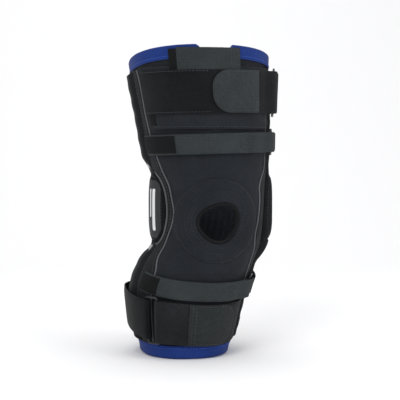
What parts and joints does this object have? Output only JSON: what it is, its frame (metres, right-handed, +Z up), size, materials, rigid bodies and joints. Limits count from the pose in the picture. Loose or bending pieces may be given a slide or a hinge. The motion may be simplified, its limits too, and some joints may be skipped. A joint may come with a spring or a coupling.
{
  "type": "knee brace",
  "caption": "Wraparound knee brace with side hinges, kneecap opening, stay pockets and hook-and-loop straps through rings.",
  "frame": {"origin": "middle of the knee, on the limb's axis half way between the upper and lower pivot lines of the hinges", "axes": "+Z up along the thigh, +Y to the back of the knee, +X to the inner (medial) side of a right leg; stored with the knee straight"},
  "size_m": [0.1643, 0.1631, 0.322],
  "materials": {
    "neoprene": "nylon-faced neoprene sheet",
    "knee_panel": "four-way stretch knit on neoprene",
    "stretch_knit": "ribbed stretch knit",
    "blue_binding": "folded elastic binding tape",
    "edge_binding": "knitted edge binding",
    "buttress": "stitched fabric over silicone rubber ring",
    "grey_webbing": "woven nylon webbing",
    "loop_velour": "brushed loop fabric",
    "black_webbing": "woven nylon webbing",
    "ring_plastic": "moulded acetal",
    "arm_aluminium": "anodised sheet",
    "cap_vinyl": "dipped vinyl",
    "plate_steel": "stamped stainless sheet",
    "rivet_steel": "turned stainless",
    "washer_nylon": "natural nylon",
    "stop_nylon": "moulded nylon",
    "foam": "closed-cell foam",
    "hinge_cover": "padded knit cover",
    "badge_rubber": "moulded soft rubber",
    "grey_piping": "corded piping",
    "pocket_fabric": "nylon pack cloth",
    "side_panel": "nylon-faced neoprene sheet"
  },
  "bodies": {
    "thigh": {"lateral_upper_arm": "arm_aluminium", "lateral_upper_arm_cap": "cap_vinyl", "lateral_upper_panel": "side_panel", "lateral_upper_piping": "grey_piping", "lateral_upper_pocket": "pocket_fabric", "medial_upper_arm": "arm_aluminium", "medial_upper_arm_cap": "cap_vinyl", "medial_upper_panel": "side_panel", "medial_upper_piping": "grey_piping", "medial_upper_pocket": "pocket_fabric", "thigh_closure_tab": "grey_webbing", "thigh_narrow_keeper": "black_webbing", "thigh_narrow_ring": "ring_plastic", "thigh_narrow_strap": "loop_velour", "thigh_narrow_tab": "grey_webbing", "thigh_sleeve": "neoprene", "thigh_top_binding": "blue_binding", "thigh_wide_keeper": "black_webbing", "thigh_wide_ring": "ring_plastic", "thigh_wide_strap": "loop_velour", "thigh_wide_tab": "grey_webbing"},
    "knee": {"knee_front_panel": "knee_panel", "lateral_badge": "badge_rubber", "lateral_condyle_pad": "foam", "lateral_extension_stop": "stop_nylon", "lateral_hinge_cover": "hinge_cover", "lateral_inner_plate": "plate_steel", "lateral_outer_plate": "plate_steel", "lateral_rivets": "rivet_steel", "lateral_washers": "washer_nylon", "medial_condyle_pad": "foam", "medial_extension_stop": "stop_nylon", "medial_hinge_cover": "hinge_cover", "medial_inner_plate": "plate_steel", "medial_outer_plate": "plate_steel", "medial_rivets": "rivet_steel", "medial_washers": "washer_nylon", "patella_buttress": "buttress", "patella_edge_binding": "edge_binding", "popliteal_panel": "stretch_knit"},
    "calf": {"calf_bottom_binding": "blue_binding", "calf_narrow_keeper": "black_webbing", "calf_narrow_ring": "ring_plastic", "calf_narrow_strap": "loop_velour", "calf_narrow_tab": "grey_webbing", "calf_sleeve": "neoprene", "calf_wide_keeper": "black_webbing", "calf_wide_ring": "ring_plastic", "calf_wide_strap": "loop_velour", "calf_wide_tab": "grey_webbing", "lateral_lower_arm": "arm_aluminium", "lateral_lower_arm_cap": "cap_vinyl", "lateral_lower_panel": "side_panel", "lateral_lower_piping": "grey_piping", "lateral_lower_pocket": "pocket_fabric", "medial_lower_arm": "arm_aluminium", "medial_lower_arm_cap": "cap_vinyl", "medial_lower_panel": "side_panel", "medial_lower_piping": "grey_piping", "medial_lower_pocket": "pocket_fabric"}
  },
  "joints": [
    {"name": "upper_pivot", "type": "hinge", "parent": "thigh", "child": "knee", "pos_m": [0, 0, 0.011], "axis": [1, 0, 0], "range_deg": [0, 60], "deforming": ["knee_front_panel", "popliteal_panel"]},
    {"name": "lower_pivot", "type": "hinge", "parent": "knee", "child": "calf", "pos_m": [0, 0, -0.011], "axis": [1, 0, 0], "range_deg": [0, 60]}
  ],
  "couplings": [
    {"joint": "lower_pivot", "follows": "upper_pivot", "ratio": 1}
  ]
}
